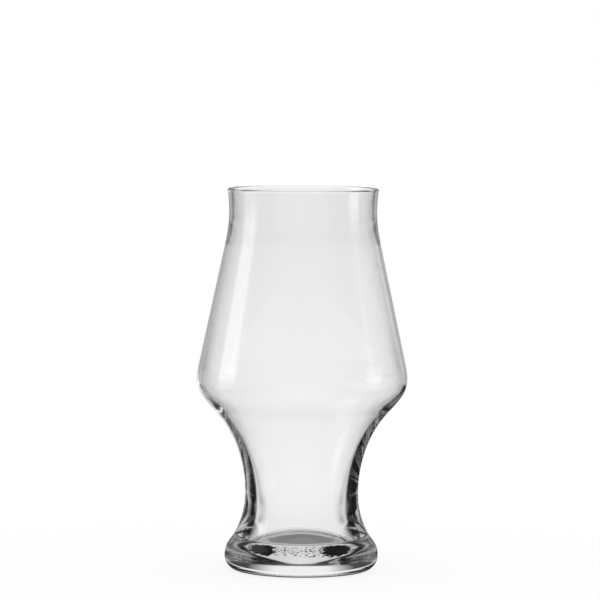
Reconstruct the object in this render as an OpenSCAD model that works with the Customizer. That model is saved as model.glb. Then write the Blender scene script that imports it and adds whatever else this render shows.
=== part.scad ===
// Tulip beer glass in clear glass: a thin blown bowl, a thick hollow stem and a solid pressed foot.
// The pieces are fused hot where their end faces meet, so each pair shares the points of one face.
// A wall is a chain of stations from the top down. A station is [radius, height, lean]: lean is the
// angle of the wall from straight down, positive where the wall runs outwards on its way down.

/* [Lip and throat] */
// Outer diameter of the rim
rim_d = 68.6; // [64:0.1:76]
// How far the lip flares at the rim, in degrees from upright
lip_flare = 7; // [1:1:15]
// Wall thickness at the rim, which is melted round
rim_wall = 1.7; // [1:0.1:2.5]
// Height from the throat up to the top of the rim
lip_h = 10.7; // [7:0.1:16]
// Outer diameter of the throat, the narrowest place above the shoulder
throat_d = 67.2; // [62:0.1:72]
// Wall thickness at the throat
throat_wall = 1.6; // [1:0.1:2.5]
// Height from the top of the cone up to the throat
throat_h = 15.3; // [10:0.1:22]

/* [Bowl] */
// Outer diameter at the top of the straight cone
cone_top_d = 71; // [68:0.1:78]
// Outer diameter at the bottom of the straight cone
cone_bottom_d = 94.5; // [88:0.1:100]
// Height of the straight cone
cone_h = 54.8; // [40:0.1:70]
// Wall thickness of the cone
cone_wall = 1.2; // [0.8:0.1:2]
// Outer diameter of the shoulder, the widest place of the glass
shoulder_d = 95.8; // [90:0.1:102]
// Wall thickness at the shoulder's widest place
shoulder_wall = 1.2; // [0.8:0.1:2]
// Height from the shoulder's widest place up to the cone
shoulder_top_h = 6.4; // [5:0.1:10]
// Height from the joint with the stem up to the shoulder's widest place
shoulder_base_h = 14.7; // [11:0.1:20]

/* [Stem] */
// Outer diameter at the joint of bowl and stem
bowl_joint_d = 78.2; // [70:0.1:84]
// How far the wall runs inwards at that joint, in degrees from upright
bowl_joint_lean = 42; // [30:1:55]
// Wall thickness at that joint
bowl_joint_wall = 1.8; // [1.2:0.1:3]
// How far the inside runs inwards at that joint, in degrees from upright
bore_top_lean = 44; // [36:1:52]
// Height from the waist up to that joint
taper_h = 37; // [28:0.1:46]
// Outer diameter of the waist, the narrowest place of the stem
waist_d = 51.7; // [46:0.1:58]
// Wall thickness at the waist
waist_wall = 5.2; // [3:0.1:7]
// How far the narrowest place of the bore lies below the waist
bore_drop = 5; // [0:0.1:7]
// Height from the joint of stem and foot up to the waist
flare_h = 17.1; // [12:0.1:24]

/* [Foot] */
// Outer diameter at the joint of stem and foot
foot_joint_d = 59.6; // [56:0.1:64]
// How far the outside runs outwards at that joint, in degrees from upright
foot_joint_lean = 27.5; // [15:0.5:36]
// Width of the ring of glass at that joint
foot_joint_wall = 7.1; // [5.5:0.1:8]
// How far the bore runs outwards at that joint, in degrees from upright
bore_lean = 23; // [10:1:30]
// Height from the steepest place of the foot's flare up to that joint
collar_h = 4.9; // [3:0.1:8]
// Outer diameter at the steepest place of the foot's flare
flare_d = 66; // [62:0.1:68]
// How far the flare runs outwards there, in degrees from upright
flare_lean = 39; // [30:1:50]
// Height from the foot's widest place up to the steepest place of its flare
foot_top_h = 6.4; // [5:0.1:9]
// Widest outer diameter of the foot
foot_d = 69.9; // [67:0.1:76]
// Height of the foot's rounded lower edge, up to its widest place
foot_edge_h = 6.7; // [4:0.1:9]
// Outer diameter of the flat ring that the glass stands on
bearing_d = 57.2; // [52:0.1:62]
// Width of that ring
bearing_w = 4; // [2:0.1:6]
// Depth of the hollow under the foot, in the middle
punt_depth = 2.6; // [1:0.1:4]
// How steeply that hollow rises from the ring, in degrees from level
punt_slope = 24; // [8:1:40]
// Thickness of glass from the standing surface up to the floor of the bore
floor_h = 12.6; // [10:0.1:14]
// Diameter of the flat floor inside its rounded corner
floor_d = 45.8; // [38:0.1:46.4]
// Diameter of the bore where that corner begins
corner_d = 50.2; // [47:0.1:54]
// Height of the corner above the floor
corner_h = 0.9; // [0.5:0.1:2]
// How far the bore runs outwards at the corner, in degrees from upright
corner_lean = 35; // [20:1:45]

/* [Hidden] */
clear_glass = [0.86, 0.92, 0.93, 0.45];
// Straight pieces that a curved stretch of wall is drawn with
curve_steps = 10;
// Sides of a full turn
turn_sides = 128;
upright = 0;
level_inwards = -90;

// Heights of the stations above the standing surface
flare_z = foot_edge_h + foot_top_h;
foot_joint_z = flare_z + collar_h;
waist_z = foot_joint_z + flare_h;
bowl_joint_z = waist_z + taper_h;
shoulder_z = bowl_joint_z + shoulder_base_h;
cone_bottom_z = shoulder_z + shoulder_top_h;
cone_top_z = cone_bottom_z + cone_h;
throat_z = cone_top_z + throat_h;
lip_round_r = rim_wall / 2;
rim_z = throat_z + lip_h - lip_round_r * (1 + sin(lip_flare));
cone_lean = atan2(cone_bottom_d / 2 - cone_top_d / 2, cone_h);

// Stations of the outside, from the rim down to the standing surface and in under the foot
rim = [rim_d / 2, rim_z, -lip_flare];
throat = [throat_d / 2, throat_z, upright];
cone_top = [cone_top_d / 2, cone_top_z, cone_lean];
cone_bottom = [cone_bottom_d / 2, cone_bottom_z, cone_lean];
shoulder = [shoulder_d / 2, shoulder_z, upright];
bowl_joint = [bowl_joint_d / 2, bowl_joint_z, -bowl_joint_lean];
waist = [waist_d / 2, waist_z, upright];
foot_joint = [foot_joint_d / 2, foot_joint_z, foot_joint_lean];
flare = [flare_d / 2, flare_z, flare_lean];
foot_edge = [foot_d / 2, foot_edge_h, upright];
bearing = [bearing_d / 2, 0, level_inwards];
punt_edge = [bearing_d / 2 - bearing_w, 0, level_inwards - punt_slope];
punt_middle = [0, punt_depth, level_inwards];

// Stations of the inside, from the rim down to the floor of the bore
rim_in = inwards(rim, rim_wall);
throat_in = inwards(throat, throat_wall);
cone_top_in = inwards(cone_top, cone_wall);
cone_bottom_in = inwards(cone_bottom, cone_wall);
shoulder_in = inwards(shoulder, shoulder_wall);
bowl_joint_in = concat(point(inwards(bowl_joint, bowl_joint_wall)), [-bore_top_lean]);
waist_in = [waist_d / 2 - waist_wall, waist_z - bore_drop, upright];
foot_joint_in = [foot_joint_d / 2 - foot_joint_wall, foot_joint_z, bore_lean];
floor_corner = [corner_d / 2, floor_h + corner_h, corner_lean];
floor_edge = [floor_d / 2, floor_h, level_inwards];
floor_middle = [0, floor_h, level_inwards];

// The station that lies one wall thickness inside another, square to the surface
function inwards(station, wall) =
    let (lean = station[2])
    [station[0] - wall * cos(lean), station[1] - wall * sin(lean), lean];

function point(station) = [station[0], station[1]];

function down_along(lean) = [sin(lean), -cos(lean)];

// A smooth curve between two stations, square to their normals; alike leans give a straight line
function curve(from, to) =
    let (start = point(from))
    let (end = point(to))
    let (pull = norm(end - start) / (3 * pow(cos((to[2] - from[2]) / 4), 2)))
    let (leave = start + pull * down_along(from[2]))
    let (arrive = end - pull * down_along(to[2]))
    let (steps = from[2] == to[2] ? 1 : curve_steps)
    [for (i = [0 : steps])
        let (t = i / steps)
        let (u = 1 - t)
        u * u * u * start + 3 * u * u * t * leave + 3 * u * t * t * arrive + t * t * t * end];

// All points of a chain of stations, each once
function chain(stations) =
    let (last = len(stations) - 1)
    [for (i = [0 : last - 1])
        let (stretch = curve(stations[i], stations[i + 1]))
        let (keep = i == last - 1 ? len(stretch) - 1 : len(stretch) - 2)
        for (k = [0 : keep]) stretch[k]];

function upwards(points) = [for (i = [len(points) - 1 : -1 : 0]) points[i]];

// The round top of the rim, from the inside over to the outside
function lip_round() =
    let (middle = (point(rim) + point(rim_in)) / 2)
    [for (i = [1 : curve_steps - 1])
        let (turn = 180 * (1 - i / curve_steps) - lip_flare)
        middle + lip_round_r * [cos(turn), sin(turn)]];

module turned(outline) {
    color(clear_glass)
        rotate_extrude($fn = turn_sides)
            polygon(outline);
}

// Thin shell from the rim over the cone and the shoulder down to the stem
module bowl() {
    outside = chain([rim, throat, cone_top, cone_bottom, shoulder, bowl_joint]);
    inside = chain([rim_in, throat_in, cone_top_in, cone_bottom_in, shoulder_in, bowl_joint_in]);
    turned(concat(outside, upwards(inside), lip_round()));
}

// Thick-walled tube that narrows to the waist and opens again to the foot
module stem() {
    outside = chain([bowl_joint, waist, foot_joint]);
    inside = chain([bowl_joint_in, waist_in, foot_joint_in]);
    turned(concat(outside, upwards(inside)));
}

// Solid foot with a rounded edge, a flat ring to stand on and the floor of the bore on top
module foot() {
    outside = chain([foot_joint, flare, foot_edge, bearing]);
    hollow = chain([punt_edge, punt_middle]);
    inside = chain([foot_joint_in, floor_corner, floor_edge, floor_middle]);
    turned(concat(outside, hollow, upwards(inside)));
}

bowl();
stem();
foot();
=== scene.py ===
import math

import bpy
from mathutils import Matrix, Vector


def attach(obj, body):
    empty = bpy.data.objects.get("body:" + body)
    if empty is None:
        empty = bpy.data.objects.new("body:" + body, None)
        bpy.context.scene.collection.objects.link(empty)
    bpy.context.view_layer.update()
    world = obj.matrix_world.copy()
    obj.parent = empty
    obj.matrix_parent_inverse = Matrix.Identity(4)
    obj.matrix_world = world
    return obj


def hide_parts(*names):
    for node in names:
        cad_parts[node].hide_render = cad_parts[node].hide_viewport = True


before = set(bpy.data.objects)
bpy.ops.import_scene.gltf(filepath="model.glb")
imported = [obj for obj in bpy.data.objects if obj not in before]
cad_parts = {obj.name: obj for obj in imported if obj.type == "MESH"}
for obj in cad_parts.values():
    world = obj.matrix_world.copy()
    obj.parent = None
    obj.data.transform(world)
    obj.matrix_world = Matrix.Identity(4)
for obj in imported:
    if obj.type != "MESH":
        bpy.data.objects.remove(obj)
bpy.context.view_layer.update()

# The foot is the heavy base of the glass: crystal glass pressed in a mould, solid from the ring that it
# stands on up to the floor of the drink space. Its edge is fire polished round, its underside is pushed
# up in the middle, and the floor inside has a frosted disc that keeps the beer sparkling.
MM = 0.001
WALL_STEPS = 16
TURN_STEPS = 192
SMOOTH_UP_TO = math.radians(25)
SAME_SPOT = 1e-7


def down_along(lean):
    """The step along a wall on its way down; lean is in degrees from straight down, outwards positive."""
    return Vector((math.sin(math.radians(lean)), 0, -math.cos(math.radians(lean))))


def upwards(wall):
    """A wall's stations followed from its lower end to its upper one."""
    return [(radius, height, lean + 180) for radius, height, lean in reversed(wall)]


def turn_glass(name, walls, closed):
    """Glass turned about Z. A wall is a smooth chain of stations: radius and height in mm, and lean.

    Straight faces join the end of one wall to the start of the next.
    """
    stations = [station for wall in walls for station in wall]
    spots = [Vector((radius, 0, height)) * MM for radius, height, lean in stations]
    wall_ends = [sum(len(wall) for wall in walls[:k + 1]) - 1 for k in range(len(walls))]
    bpy.ops.object.select_all(action="DESELECT")
    bpy.ops.curve.primitive_bezier_curve_add()
    piece = bpy.context.object
    piece.name = name
    spline = piece.data.splines[0]
    spline.bezier_points.add(len(stations) - len(spline.bezier_points))
    spline.use_cyclic_u = closed
    spline.resolution_u = WALL_STEPS
    for point, spot in zip(spline.bezier_points, spots):
        point.handle_left_type = "FREE"
        point.handle_right_type = "FREE"
        point.co = spot
        point.handle_left = spot
        point.handle_right = spot
    for start in range(len(stations) if closed else len(stations) - 1):
        end = (start + 1) % len(stations)
        chord = spots[end] - spots[start]
        if start in wall_ends:
            leave = chord / 3
            arrive = chord / 3
        else:
            turn = math.radians(stations[end][2] - stations[start][2])
            pull = chord.length / (3 * math.cos(turn / 4) ** 2)
            leave = pull * down_along(stations[start][2])
            arrive = pull * down_along(stations[end][2])
        spline.bezier_points[start].handle_right = spots[start] + leave
        spline.bezier_points[end].handle_left = spots[end] - arrive
    bpy.ops.object.convert(target="MESH")
    piece.data.name = name
    bpy.ops.object.mode_set(mode="EDIT")
    bpy.ops.mesh.select_all(action="SELECT")
    bpy.ops.mesh.spin(steps=TURN_STEPS, angle=2 * math.pi, center=(0, 0, 0), axis=(0, 0, 1))
    bpy.ops.mesh.select_all(action="SELECT")
    bpy.ops.mesh.remove_doubles(threshold=SAME_SPOT)
    bpy.ops.mesh.normals_make_consistent(inside=False)
    bpy.ops.object.mode_set(mode="OBJECT")
    bpy.ops.object.shade_smooth_by_angle(angle=SMOOTH_UP_TO)
    return piece


def lay_on_faces(piece, material, place):
    """Puts a material on the faces that lie where place says, by a face's middle and normal."""
    piece.data.materials.append(material)
    slot = len(piece.data.materials) - 1
    for face in piece.data.polygons:
        if place(face.center, face.normal):
            face.material_index = slot


def linear(hex_colour):
    """An sRGB hex colour as linear RGBA."""
    parts = [int(hex_colour[k:k + 2], 16) / 255 for k in (1, 3, 5)]
    return [p / 12.92 if p <= 0.04045 else ((p + 0.055) / 1.055) ** 2.4 for p in parts] + [1]


def add_node(tree, kind, inputs, **settings):
    """Adds a node with its settings; each of its inputs is a value, or the output that feeds it."""
    node = tree.nodes.new(kind)
    for name, value in settings.items():
        setattr(node, name, value)
    for socket, value in inputs.items():
        if isinstance(value, bpy.types.NodeSocket):
            tree.links.new(value, node.inputs[socket])
        else:
            node.inputs[socket].default_value = value
    return node


def new_material(name):
    """An empty node material."""
    material = bpy.data.materials.new(name)
    material.use_nodes = True
    material.node_tree.nodes.clear()
    return material


GLASS_IOR = 1.52
WHITE = linear("#FFFFFF")

# Crystal glass, pressed and drawn hot: clear as water, with the faint waves of glass that set in a mould.
drawn_glass = new_material("crystal_glass_drawn_hot")
tree = drawn_glass.node_tree
wave_length = 9 * MM
wave_height = 0.012 * MM
where = add_node(tree, "ShaderNodeTexCoord", {}).outputs["Object"]
waves = add_node(tree, "ShaderNodeTexNoise", {"Vector": where, "Scale": 1 / wave_length, "Detail": 2.0})
ripple = add_node(tree, "ShaderNodeBump", {
    "Height": waves.outputs["Fac"], "Distance": wave_height, "Strength": 1.0})
body = add_node(tree, "ShaderNodeBsdfPrincipled", {
    "Base Color": WHITE,
    "Roughness": 0.0,
    "IOR": GLASS_IOR,
    "Transmission Weight": 1.0,
    "Normal": ripple.outputs["Normal"],
})
add_node(tree, "ShaderNodeOutputMaterial", {"Surface": body.outputs["BSDF"]})

# Two pieces fused hot: the seam lets light through as if it were not there.
fused_seam = new_material("glass_fused_seam")
tree = fused_seam.node_tree
seam = add_node(tree, "ShaderNodeBsdfTransparent", {"Color": WHITE})
add_node(tree, "ShaderNodeOutputMaterial", {"Surface": seam.outputs["BSDF"]})


def etch(tree, share, frost_colour):
    """Finishes a material as smooth clear glass, with frost over the share of it that was etched."""
    clear = add_node(tree, "ShaderNodeBsdfPrincipled", {
        "Base Color": WHITE,
        "Roughness": 0.0,
        "IOR": GLASS_IOR,
        "Transmission Weight": 1.0,
    })
    frost = add_node(tree, "ShaderNodeBsdfDiffuse", {"Color": linear(frost_colour)})
    both = add_node(tree, "ShaderNodeMixShader", {0: share, 1: clear.outputs["BSDF"], 2: frost.outputs["BSDF"]})
    add_node(tree, "ShaderNodeOutputMaterial", {"Surface": both.outputs["Shader"]})


# Crystal glass etched on the floor: from above a grey frosted disc, from below loose rings of marks.
etched_glass = new_material("crystal_glass_etched_disc")
tree = etched_glass.node_tree
disc_radius = 15.2 * MM
disc_edge = 0.5 * MM
ring_pitch = 1.7 * MM
ring_pull = 0.12
mark_size = 0.9 * MM
grit = 0.35 * MM
thin_frost = 0.55
thick_frost = 0.95
where = add_node(tree, "ShaderNodeTexCoord", {}).outputs["Object"]
flat = add_node(tree, "ShaderNodeVectorMath", {0: where, 1: (1, 1, 0)}, operation="MULTIPLY").outputs["Vector"]
away = add_node(tree, "ShaderNodeVectorMath", {0: flat}, operation="LENGTH").outputs["Value"]
inside = add_node(tree, "ShaderNodeMapRange", {
    "Value": away, "From Min": disc_radius + disc_edge, "From Max": disc_radius - disc_edge})
grains = add_node(tree, "ShaderNodeTexNoise", {"Vector": where, "Scale": 1 / grit, "Detail": 2.0})
cover = add_node(tree, "ShaderNodeMapRange", {
    "Value": grains.outputs["Fac"], "From Min": 0.3, "From Max": 0.7, "To Min": thin_frost, "To Max": thick_frost})
turns = add_node(tree, "ShaderNodeMath", {0: away, 1: 2 * math.pi / ring_pitch}, operation="MULTIPLY")
rings = add_node(tree, "ShaderNodeMath", {0: turns.outputs["Value"]}, operation="SINE")
breaks = add_node(tree, "ShaderNodeTexNoise", {"Vector": where, "Scale": 1 / mark_size, "Detail": 1.0})
broken = add_node(tree, "ShaderNodeMath", {
    0: rings.outputs["Value"], 1: ring_pull, 2: breaks.outputs["Fac"]}, operation="MULTIPLY_ADD")
marks = add_node(tree, "ShaderNodeMapRange", {
    "Value": broken.outputs["Value"], "From Min": 0.58, "From Max": 0.62})
from_below = add_node(tree, "ShaderNodeNewGeometry", {}).outputs["Backfacing"]
pattern = add_node(tree, "ShaderNodeMix", {
    0: from_below, 2: cover.outputs["Result"], 3: marks.outputs["Result"]}, data_type="FLOAT")
share = add_node(tree, "ShaderNodeMath", {0: pattern.outputs[0], 1: inside.outputs["Result"]}, operation="MULTIPLY")
etch(tree, share.outputs["Value"], "#D2D2D4")

# Crystal glass etched under the foot: two dark grey blots with torn edges, and loose specks between them.
etched_mark = new_material("crystal_glass_etched_mark")
tree = etched_mark.node_tree
blots = [(-11.9 * MM, 4.2 * MM), (10.8 * MM, 4.6 * MM)]
blot_back = 2.5 * MM
blot_height = 5.8 * MM
blot_edge = 0.05
mark_width = 12 * MM
mark_height = 6 * MM
speck = 1.1 * MM
tear = 1.4
where = add_node(tree, "ShaderNodeTexCoord", {}).outputs["Object"]
flat = add_node(tree, "ShaderNodeVectorMath", {0: where, 1: (1, 1, 0)}, operation="MULTIPLY").outputs["Vector"]
specks = add_node(tree, "ShaderNodeTexNoise", {"Vector": flat, "Scale": 1 / speck, "Detail": 1.0}).outputs["Fac"]
loose = add_node(tree, "ShaderNodeMapRange", {"Value": specks, "From Min": 0.56, "From Max": 0.59})
spread = add_node(tree, "ShaderNodeVectorMath", {
    0: flat, 1: (1 / mark_width, 1 / mark_height, 0)}, operation="MULTIPLY")
reach = add_node(tree, "ShaderNodeVectorMath", {0: spread.outputs["Vector"]}, operation="LENGTH")
within = add_node(tree, "ShaderNodeMath", {0: reach.outputs["Value"], 1: 1.0}, operation="LESS_THAN")
share = add_node(tree, "ShaderNodeMath", {
    0: loose.outputs["Result"], 1: within.outputs["Value"]}, operation="MULTIPLY")
for middle, half_width in blots:
    beside = add_node(tree, "ShaderNodeVectorMath", {0: flat, 1: (middle, blot_back, 0)}, operation="SUBTRACT")
    shape = add_node(tree, "ShaderNodeVectorMath", {
        0: beside.outputs["Vector"], 1: (1 / half_width, 1 / blot_height, 0)}, operation="MULTIPLY")
    far = add_node(tree, "ShaderNodeVectorMath", {0: shape.outputs["Vector"]}, operation="LENGTH")
    torn = add_node(tree, "ShaderNodeMath", {
        0: specks, 1: -tear, 2: far.outputs["Value"]}, operation="MULTIPLY_ADD")
    blot = add_node(tree, "ShaderNodeMapRange", {
        "Value": torn.outputs["Value"],
        "From Min": 1 + blot_edge - tear / 2,
        "From Max": 1 - blot_edge - tear / 2,
    })
    share = add_node(tree, "ShaderNodeMath", {
        0: share.outputs["Value"], 1: blot.outputs["Result"]}, operation="MAXIMUM")
etch(tree, share.outputs["Value"], "#4A4A4C")

foot_joint = (29.8, 18.0, 27.5)
flare = (33.0, 13.1, 39)
foot_edge = (34.95, 6.7, 0)
bearing = (28.6, 0.0, -90)
bearing_width = 4.0
punt_radius = bearing[0] - bearing_width
punt_depth = 2.6
punt_slope = 24
punt = [(0.0, punt_depth, 90), (punt_radius, 0.0, 90 - punt_slope)]
foot_joint_in = (22.7, 18.0, 23)
floor_corner = (25.1, 13.5, 35)
floor_edge = (22.9, 12.6, -90)
floor_middle = (0.0, 12.6, -90)
foot = turn_glass(
    "foot_glass",
    [
        punt,
        upwards([foot_joint, flare, foot_edge, bearing]),
        [foot_joint_in, floor_corner, floor_edge, floor_middle],
    ],
    closed=False,
)
foot.data.materials.append(drawn_glass)
SQUARE = 0.99
AT_HEIGHT = 1e-6


def level_at(height):
    """A test for the faces that lie level, face up, at a height in mm."""
    return lambda middle, normal: normal.z > SQUARE and abs(middle.z - height * MM) < AT_HEIGHT


lay_on_faces(foot, etched_glass, level_at(floor_edge[1]))
lay_on_faces(foot, fused_seam, level_at(foot_joint[1]))
lay_on_faces(foot, etched_mark, lambda middle, normal: normal.z < 0 and middle.xy.length < punt_radius * MM)
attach(foot, "root")
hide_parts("foot")

# The stem is a thick tube of the same glass, drawn while hot so that it narrows to a waist and opens
# again below. Its lower end is fused to the foot and its upper end to the bowl.
bowl_joint = (39.1, 72.1, -42)
bowl_joint_wall = 1.8
bore_top_lean = -44
waist = (25.85, 35.1, 0)
waist_in = (20.65, 30.1, 0)


def inwards(station, wall):
    """The station that lies one wall thickness inside another, square to the surface."""
    lean = math.radians(station[2])
    return (station[0] - wall * math.cos(lean), station[1] - wall * math.sin(lean), station[2])


bowl_joint_in = (*inwards(bowl_joint, bowl_joint_wall)[:2], bore_top_lean)
stem = turn_glass(
    "stem_glass",
    [[bowl_joint, waist, foot_joint], upwards([bowl_joint_in, waist_in, foot_joint_in])],
    closed=True,
)
stem.data.materials.append(drawn_glass)
seam_slope = down_along(bowl_joint[2])


def faces_seam(normal, middle, side):
    """True for a face of the sloping seam between stem and bowl, seen from below (1) or above (-1)."""
    out = Vector((middle.x, middle.y, 0)).normalized()
    facing = out * seam_slope.x + Vector((0, 0, seam_slope.z))
    return normal.dot(facing) * side > SQUARE


lay_on_faces(
    stem,
    fused_seam,
    lambda middle, normal: faces_seam(normal, middle, -1) or normal.z < -SQUARE,
)
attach(stem, "root")
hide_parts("stem")

# The bowl is blown: a thin shell with a rounded shoulder, a straight cone and a narrow throat. Its lip flares
# a little and its rim is melted round. Its lower end is fused to the stem.
lip_top = 174.0
lip_flare = 7
rim_wall = 1.7
throat_wall = 1.6
cone_wall = 1.2
shoulder_wall = 1.2
rim_lean = math.radians(-lip_flare)
rim = (34.3, lip_top - rim_wall / 2 * (1 - math.sin(rim_lean)), -lip_flare)
throat = (33.6, 163.3, 0)
cone_top_at = (35.5, 148.0)
cone_bottom_at = (47.25, 93.2)
cone_lean = math.degrees(math.atan2(cone_bottom_at[0] - cone_top_at[0], cone_top_at[1] - cone_bottom_at[1]))
cone_top = (*cone_top_at, cone_lean)
cone_bottom = (*cone_bottom_at, cone_lean)
shoulder = (47.9, 86.8, 0)
rim_in = inwards(rim, rim_wall)
inside_wall = [
    rim_in,
    inwards(throat, throat_wall),
    inwards(cone_top, cone_wall),
    inwards(cone_bottom, cone_wall),
    inwards(shoulder, shoulder_wall),
    bowl_joint_in,
]
outside_wall = [rim, throat, cone_top, cone_bottom, shoulder, bowl_joint]
lip_middle = ((rim[0] + rim_in[0]) / 2, (rim[1] + rim_in[1]) / 2)
lip_crest = (
    lip_middle[0] - rim_wall / 2 * math.sin(rim_lean),
    lip_middle[1] + rim_wall / 2 * math.cos(rim_lean),
    90 - lip_flare,
)
bowl = turn_glass(
    "bowl_glass",
    [outside_wall, upwards(inside_wall) + [lip_crest, rim]],
    closed=True,
)
bowl.data.materials.append(drawn_glass)
lay_on_faces(bowl, fused_seam, lambda middle, normal: faces_seam(normal, middle, 1))
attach(bowl, "root")
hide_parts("bowl")

# The floor is a plain sheet of white matt card that the glass stands on, lit evenly from all round and with an even
# glow of its own. The glass mirrors it as a painted dark table with a few painted light areas, and what shows
# through the glass has painted shadow under the foot and behind it.
# Places on it are in mm: across to the right, along to the back, away from the middle of the foot.
floor_radius = 200 * MM
bpy.ops.object.select_all(action="DESELECT")
bpy.ops.mesh.primitive_circle_add(vertices=128, radius=floor_radius, fill_type="NGON")
floor = bpy.context.object
floor.name = "floor"
white_sheet_with_painted_light = new_material("white_sheet_with_painted_light")
tree = white_sheet_with_painted_light.node_tree
sheet_colour = linear("#6C6C6C")
# dark is the level that mirrored rays see where no patch is: on the floor a painted dark table, in the world a dark
# room.
dark = 0.012
no_start = (-999, -998)
no_end = (998, 999)


def add_patch(tree, light, strength, *limits):
    """Adds a soft patch to a light and gives the output of the sum.

    A limit is a value, and where on it the patch starts, is full, is still full and ends.
    """
    patch = strength
    for value, (start, full, still, end) in limits:
        into = add_node(tree, "ShaderNodeMapRange", {"Value": value, "From Min": start, "From Max": full})
        out = add_node(tree, "ShaderNodeMapRange", {"Value": value, "From Min": end, "From Max": still})
        both = add_node(tree, "ShaderNodeMath", {
            0: into.outputs["Result"], 1: out.outputs["Result"]}, operation="MULTIPLY")
        patch = add_node(tree, "ShaderNodeMath", {
            0: both.outputs["Value"], 1: patch}, operation="MULTIPLY").outputs["Value"]
    return add_node(tree, "ShaderNodeMath", {0: light, 1: patch}, operation="ADD").outputs["Value"]


where = add_node(tree, "ShaderNodeTexCoord", {}).outputs["Object"]
in_mm = add_node(tree, "ShaderNodeVectorMath", {0: where, "Scale": 1 / MM}, operation="SCALE").outputs["Vector"]
axes = add_node(tree, "ShaderNodeSeparateXYZ", {"Vector": in_mm})
across, along = axes.outputs["X"], axes.outputs["Y"]
aside = add_node(tree, "ShaderNodeMath", {0: across}, operation="ABSOLUTE").outputs["Value"]
away = add_node(tree, "ShaderNodeVectorMath", {0: in_mm}, operation="LENGTH").outputs["Value"]

# Painted light that only the glass mirrors, on the painted dark table: the front, both sides, a bright painted spot
# behind the foot, the back left.
glint = add_patch(tree, dark, 0.3, (along, (*no_start, -25, -15)))
glint = add_patch(tree, glint, 0.3, (aside, (36, 46, *no_end)), (along, (-25, -15, 40, 60)))
glint = add_patch(tree, glint, 0.95, (aside, (*no_start, 20, 30)), (along, (48, 52, 62, 72)))
glint = add_patch(tree, glint, 0.9, (across, (-80, -40, -15, 0)), (along, (60, 80, *no_end)))

# Painted shadow that only shows through the glass: under the foot, and two soft areas behind it, left and right.
turn = add_node(tree, "ShaderNodeMath", {0: across, 1: along}, operation="ARCTAN2")
quarters = add_node(tree, "ShaderNodeMath", {0: turn.outputs["Value"], 1: 4.0}, operation="MULTIPLY")
facing = add_node(tree, "ShaderNodeMath", {0: quarters.outputs["Value"]}, operation="COSINE").outputs["Value"]
shadow = add_patch(tree, 0.0, 0.6, (away, (*no_start, 32, 46)))
shadow = add_patch(
    tree, shadow, 0.5,
    (facing, (0.2, -0.4, -0.5, -0.95)), (away, (90, 115, 130, 165)), (along, (0, 40, *no_end)),
)
shaded = add_node(tree, "ShaderNodeMath", {0: 1.0, 1: shadow}, operation="SUBTRACT", use_clamp=True)

# Rays that were mirrored on their way see the painted glints, and rays that only came through see the painted
# shadow.
path = add_node(tree, "ShaderNodeLightPath", {})
matt = add_node(tree, "ShaderNodeBsdfDiffuse", {"Color": sheet_colour})
glow = add_node(tree, "ShaderNodeEmission", {"Color": WHITE, "Strength": 1 - sheet_colour[0]})
lit = add_node(tree, "ShaderNodeAddShader", {0: matt.outputs["BSDF"], 1: glow.outputs["Emission"]})
mirrored = add_node(tree, "ShaderNodeMath", {
    0: path.outputs["Glossy Depth"], 1: 0.5}, operation="GREATER_THAN").outputs["Value"]
bent = add_node(tree, "ShaderNodeMath", {0: mirrored, 1: path.outputs["Is Transmission Ray"]}, operation="MAXIMUM")
bent_light = add_node(tree, "ShaderNodeMix", {0: mirrored, 2: shaded.outputs["Value"], 3: glint}, data_type="FLOAT")
bent_glow = add_node(tree, "ShaderNodeEmission", {"Color": WHITE, "Strength": bent_light.outputs[0]})
both = add_node(tree, "ShaderNodeMixShader", {
    0: bent.outputs["Value"],
    1: lit.outputs["Shader"],
    2: bent_glow.outputs["Emission"],
})
add_node(tree, "ShaderNodeOutputMaterial", {"Surface": both.outputs["Shader"]})
floor.data.materials.append(white_sheet_with_painted_light)

# The studio is white for what is seen straight, a dark room with soft panels for what the glass mirrors, and
# through the glass white behind its four sides and dark between. Directions are in degrees: side is 0 straight
# behind the glass and positive to the right, aside is the same to either side, and rise is up from level.
world = bpy.data.worlds.new("studio")
bpy.context.scene.world = world
world.use_nodes = True
tree = world.node_tree
tree.nodes.clear()
toward = add_node(tree, "ShaderNodeTexCoord", {}).outputs["Generated"]
axes = add_node(tree, "ShaderNodeSeparateXYZ", {"Vector": toward})
turn = add_node(tree, "ShaderNodeMath", {
    0: axes.outputs["X"], 1: axes.outputs["Y"]}, operation="ARCTAN2").outputs["Value"]
tilt = add_node(tree, "ShaderNodeMath", {0: axes.outputs["Z"]}, operation="ARCSINE").outputs["Value"]
side = add_node(tree, "ShaderNodeMath", {0: turn}, operation="DEGREES").outputs["Value"]
rise = add_node(tree, "ShaderNodeMath", {0: tilt}, operation="DEGREES").outputs["Value"]
aside = add_node(tree, "ShaderNodeMath", {0: side}, operation="ABSOLUTE").outputs["Value"]

# The lower wall behind the glass, brightest in the middle, which shows in the foot.
room = add_patch(tree, dark, 0.28, (aside, (*no_start, 0, 30)), (rise, (3, 6, 17, 22)))
room = add_patch(tree, room, 0.50, (aside, (*no_start, 12, 20)), (rise, (3, 6, 17, 22)))
room = add_patch(tree, room, 0.50, (aside, (12, 20, 26, 30)), (rise, (6, 9, 17, 22)))
room = add_patch(tree, room, 0.35, (aside, (36, 40, 56, 62)), (rise, (18, 21, 28, 34)))

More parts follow.
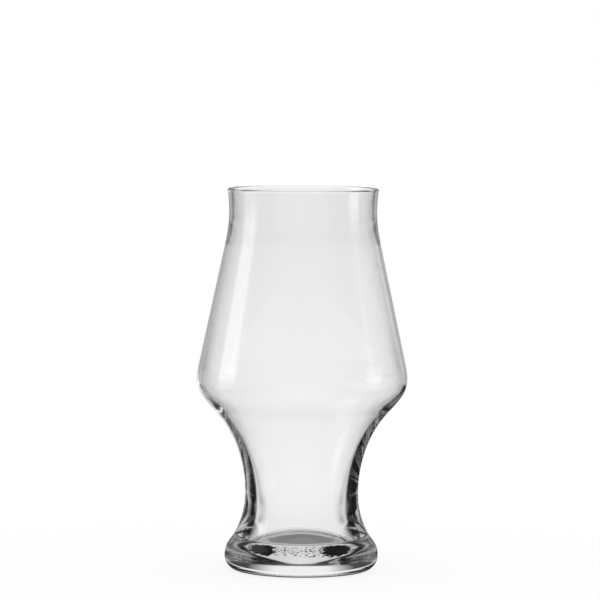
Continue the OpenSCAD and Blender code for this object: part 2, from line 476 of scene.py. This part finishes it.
# The grey band at the foot of the backdrop, which the bowl's edges mirror. It climbs towards the sides: climb
# and slow_climb are the rise over a line that gains this many degrees per degree aside.
band_climb = 0.2
side_climb = 0.13
climb = add_node(tree, "ShaderNodeMath", {
    0: aside, 1: -band_climb, 2: rise}, operation="MULTIPLY_ADD").outputs["Value"]
slow_climb = add_node(tree, "ShaderNodeMath", {
    0: aside, 1: -side_climb, 2: rise}, operation="MULTIPLY_ADD").outputs["Value"]
room = add_patch(tree, room, 0.42, (aside, (*no_start, 30, 36)), (climb, (-6, -5, -2.5, -1)))
room = add_patch(
    tree, room, 0.42,
    (aside, (*no_start, 30, 36)), (climb, (*no_start, -6, -5)), (rise, (-9, -7, 0, 2)),
)
room = add_patch(tree, room, 0.42, (aside, (30, 36, 52, 60)), (climb, (-5, -4.2, -2.7, -1.8)))
room = add_patch(tree, room, 0.36, (aside, (52, 60, 96, 110)), (slow_climb, (-3, -1.5, 2, 3.5)))

# The front of the room below eye level, and the ceiling.
room = add_patch(tree, room, 0.25, (aside, (125, 155, *no_end)), (rise, (*no_start, 14, 20)))
room = add_patch(tree, room, 0.30, (rise, (64, 74, *no_end)))

# The panels: a low one behind, a tall one on the left with a soft core and top, and three on the right.
room = add_patch(tree, room, 1.00, (side, (-24, -20, 3, 7)), (rise, (-42, -38, -8, -3)))
room = add_patch(tree, room, 0.50, (side, (-100, -98, -76, -74)), (rise, (-17, -15, 27, 29)))
room = add_patch(tree, room, 0.60, (side, (-102, -96, -78, -72)), (rise, (-4, 2, 25, 31)))
room = add_patch(tree, room, 0.55, (side, (-116, -110, -72, -60)), (rise, (30, 33, 50, 54)))
room = add_patch(tree, room, 0.55, (side, (81, 85, 99, 103)), (rise, (-18, -14, 1, 5)))
room = add_patch(tree, room, 0.22, (side, (90, 92, 96, 98)), (rise, (-1, 1, 27, 29)))
room = add_patch(tree, room, 0.25, (side, (56, 63, 77, 83)), (rise, (-12, -6, -2, 4)))

# Through the glass: the backdrop, a little grey above the table, with dark flags between the four sides. A level
# view from a diagonal looks straight into a flag, so the bowl is dark there.
backdrop_grey = 0.91
through = add_node(tree, "ShaderNodeMapRange", {
    "Value": rise, "From Min": -2.0, "From Max": -5.0, "To Min": backdrop_grey, "To Max": 1.0})
quarters = add_node(tree, "ShaderNodeMath", {0: turn, 1: 4.0}, operation="MULTIPLY")
facing = add_node(tree, "ShaderNodeMath", {0: quarters.outputs["Value"]}, operation="COSINE").outputs["Value"]
flags = add_patch(tree, 0.0, 0.95, (facing, (0.6, -0.7, -2, -3)), (rise, (-8, -4, *no_end)))
clear_of = add_node(tree, "ShaderNodeMath", {0: 1.0, 1: flags}, operation="SUBTRACT")
screens = add_node(tree, "ShaderNodeMath", {
    0: clear_of.outputs["Value"], 1: through.outputs["Result"]}, operation="MULTIPLY")
path = add_node(tree, "ShaderNodeLightPath", {})
mirrored = add_node(tree, "ShaderNodeMath", {
    0: path.outputs["Glossy Depth"], 1: 0.5}, operation="GREATER_THAN").outputs["Value"]
straight = add_node(tree, "ShaderNodeMix", {
    0: path.outputs["Is Transmission Ray"], 2: 1.0, 3: screens.outputs["Value"]}, data_type="FLOAT")
seen = add_node(tree, "ShaderNodeMix", {0: mirrored, 2: straight.outputs[0], 3: room}, data_type="FLOAT")
sky = add_node(tree, "ShaderNodeBackground", {"Color": WHITE, "Strength": seen.outputs[0]})
add_node(tree, "ShaderNodeOutputWorld", {"Surface": sky.outputs["Background"]})

# The camera stands far off with a long lens, a little above the rim, and looks down by four degrees.
camera_place = (-0.0012, -1.7596, 0.2455)
pitch = 0.0694
roll = math.radians(0.35)
picture_pixels = 600
focal_pixels = 3879
camera_data = bpy.data.cameras.new("camera")
camera_data.sensor_width = 36
camera_data.lens = camera_data.sensor_width * focal_pixels / picture_pixels
camera = bpy.data.objects.new("camera", camera_data)
camera.matrix_world = (
    Matrix.Translation(camera_place)
    @ Matrix.Rotation(math.pi / 2 - pitch, 4, "X")
    @ Matrix.Rotation(roll, 4, "Z")
)
scene = bpy.context.scene
scene.collection.objects.link(camera)
scene.camera = camera
scene.view_settings.view_transform = "Standard"

# Light that is caught in the thin walls turns many times before it finds its way out.
light_turns = 128
scene.cycles.max_bounces = light_turns
scene.cycles.transmission_bounces = light_turns
scene.cycles.glossy_bounces = light_turns
scene.cycles.transparent_max_bounces = light_turns
